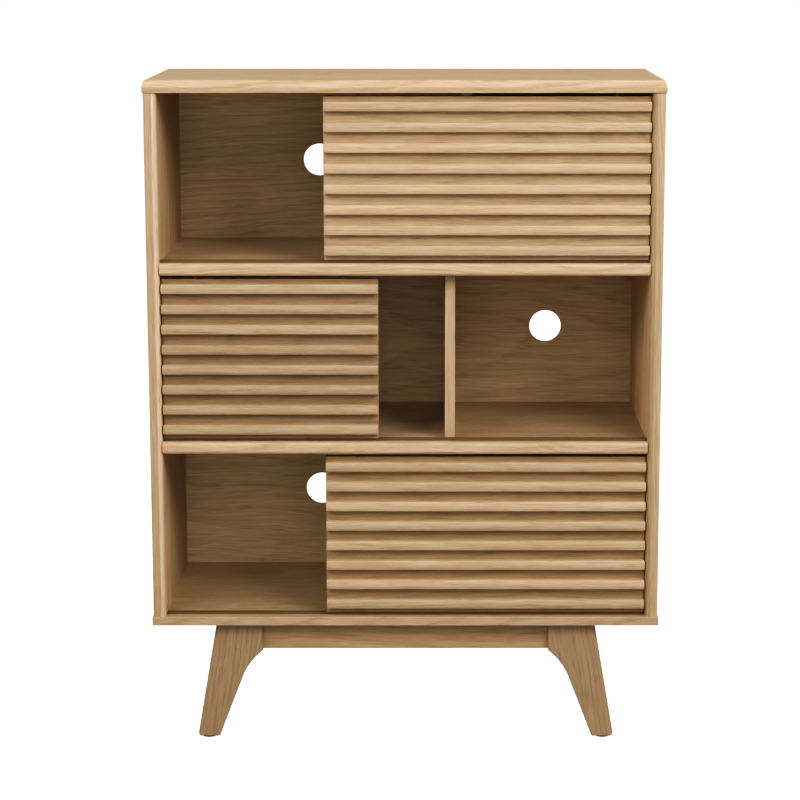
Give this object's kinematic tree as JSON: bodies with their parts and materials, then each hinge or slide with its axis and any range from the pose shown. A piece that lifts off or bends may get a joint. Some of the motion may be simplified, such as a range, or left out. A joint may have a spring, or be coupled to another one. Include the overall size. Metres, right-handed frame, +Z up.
{
  "type": "media cabinet",
  "caption": "Tall oak-look media cabinet with open compartments, slatted sliding doors on rollers and a splayed leg frame.",
  "frame": {"origin": "middle of the footprint, at the underside of the foot glides", "axes": "+Z up, -Y out of the open front, +X to the right seen from the front"},
  "size_m": [0.902, 0.394, 1.18],
  "materials": {
    "carcass_oak": "satin oak laminate, grain across",
    "upright_oak": "satin oak laminate, grain upright",
    "back_oak": "matt oak foil",
    "leg_oak": "satin solid oak",
    "door_oak": "satin oak laminate, grain across",
    "slat_oak": "satin oak, grain along the slats",
    "beech": "bare turned beech",
    "brown_plastic": "matt extruded plastic",
    "white_nylon": "moulded nylon",
    "black_plastic": "matt moulded plastic",
    "zinc_plate": "zinc-plated steel"
  },
  "bodies": {
    "cabinet": {"top_panel": "carcass_oak", "left_side_panel": "upright_oak", "right_side_panel": "upright_oak", "upper_shelf": "carcass_oak", "lower_shelf": "carcass_oak", "bottom_panel": "carcass_oak", "upper_divider": "upright_oak", "middle_divider": "upright_oak", "lower_divider": "upright_oak", "upper_back_panel": "back_oak", "middle_back_panel": "back_oak", "lower_back_panel": "back_oak", "upper_floor_track": "brown_plastic", "middle_floor_track": "brown_plastic", "lower_floor_track": "brown_plastic", "upper_guide_channel": "brown_plastic", "middle_guide_channel": "brown_plastic", "lower_guide_channel": "brown_plastic", "front_left_leg": "leg_oak", "front_right_leg": "leg_oak", "rear_left_leg": "leg_oak", "rear_right_leg": "leg_oak", "front_apron": "carcass_oak", "rear_apron": "carcass_oak", "left_side_rail": "carcass_oak", "right_side_rail": "carcass_oak", "foot_glides": "black_plastic", "joint_plates": "zinc_plate", "plate_screws": "zinc_plate", "leg_bolts": "zinc_plate", "apron_screws": "zinc_plate", "cam_discs": "zinc_plate", "cam_bolts": "zinc_plate", "cam_covers": "upright_oak", "wood_dowels": "beech", "carcass_screws": "zinc_plate", "back_panel_screws": "zinc_plate"},
    "upper_door": {"upper_door_panel": "door_oak", "upper_door_slats": "slat_oak", "upper_door_roller_housings": "white_nylon", "upper_door_roller_axles": "zinc_plate", "upper_door_top_guides": "black_plastic"},
    "upper_door_left_wheel": {"upper_door_left_wheel": "white_nylon"},
    "upper_door_right_wheel": {"upper_door_right_wheel": "white_nylon"},
    "middle_door": {"middle_door_panel": "door_oak", "middle_door_slats": "slat_oak", "middle_door_roller_housings": "white_nylon", "middle_door_roller_axles": "zinc_plate", "middle_door_top_guides": "black_plastic"},
    "middle_door_left_wheel": {"middle_door_left_wheel": "white_nylon"},
    "middle_door_right_wheel": {"middle_door_right_wheel": "white_nylon"},
    "lower_door": {"lower_door_panel": "door_oak", "lower_door_slats": "slat_oak", "lower_door_roller_housings": "white_nylon", "lower_door_roller_axles": "zinc_plate", "lower_door_top_guides": "black_plastic"},
    "lower_door_left_wheel": {"lower_door_left_wheel": "white_nylon"},
    "lower_door_right_wheel": {"lower_door_right_wheel": "white_nylon"}
  },
  "joints": [
    {"name": "upper_door_slide", "type": "slide", "parent": "cabinet", "child": "upper_door", "axis": [1, 0, 0], "range_m": [-0.2854, 0]},
    {"name": "middle_door_slide", "type": "slide", "parent": "cabinet", "child": "middle_door", "axis": [1, 0, 0], "range_m": [0, 0.4724]},
    {"name": "lower_door_slide", "type": "slide", "parent": "cabinet", "child": "lower_door", "axis": [1, 0, 0], "range_m": [-0.2854, 0]},
    {"name": "upper_door_left_wheel_spin", "type": "hinge", "parent": "upper_door", "child": "upper_door_left_wheel", "pos_m": [-0.0808, -0.1735, 0.8715], "axis": [0, 1, 0], "continuous": true},
    {"name": "upper_door_right_wheel_spin", "type": "hinge", "parent": "upper_door", "child": "upper_door_right_wheel", "pos_m": [0.3662, -0.1735, 0.8715], "axis": [0, 1, 0], "continuous": true},
    {"name": "middle_door_left_wheel_spin", "type": "hinge", "parent": "middle_door", "child": "middle_door_left_wheel", "pos_m": [-0.3662, -0.1735, 0.5545], "axis": [0, 1, 0], "continuous": true},
    {"name": "middle_door_right_wheel_spin", "type": "hinge", "parent": "middle_door", "child": "middle_door_right_wheel", "pos_m": [-0.1062, -0.1735, 0.5545], "axis": [0, 1, 0], "continuous": true},
    {"name": "lower_door_left_wheel_spin", "type": "hinge", "parent": "lower_door", "child": "lower_door_left_wheel", "pos_m": [-0.0808, -0.1735, 0.2375], "axis": [0, 1, 0], "continuous": true},
    {"name": "lower_door_right_wheel_spin", "type": "hinge", "parent": "lower_door", "child": "lower_door_right_wheel", "pos_m": [0.3662, -0.1735, 0.2375], "axis": [0, 1, 0], "continuous": true}
  ],
  "couplings": [
    {"joint": "upper_door_left_wheel_spin", "follows": "upper_door_slide", "rad_per_m": 142.86},
    {"joint": "upper_door_right_wheel_spin", "follows": "upper_door_slide", "rad_per_m": 142.86},
    {"joint": "middle_door_left_wheel_spin", "follows": "middle_door_slide", "rad_per_m": 142.86},
    {"joint": "middle_door_right_wheel_spin", "follows": "middle_door_slide", "rad_per_m": 142.86},
    {"joint": "lower_door_left_wheel_spin", "follows": "lower_door_slide", "rad_per_m": 142.86},
    {"joint": "lower_door_right_wheel_spin", "follows": "lower_door_slide", "rad_per_m": 142.86}
  ]
}
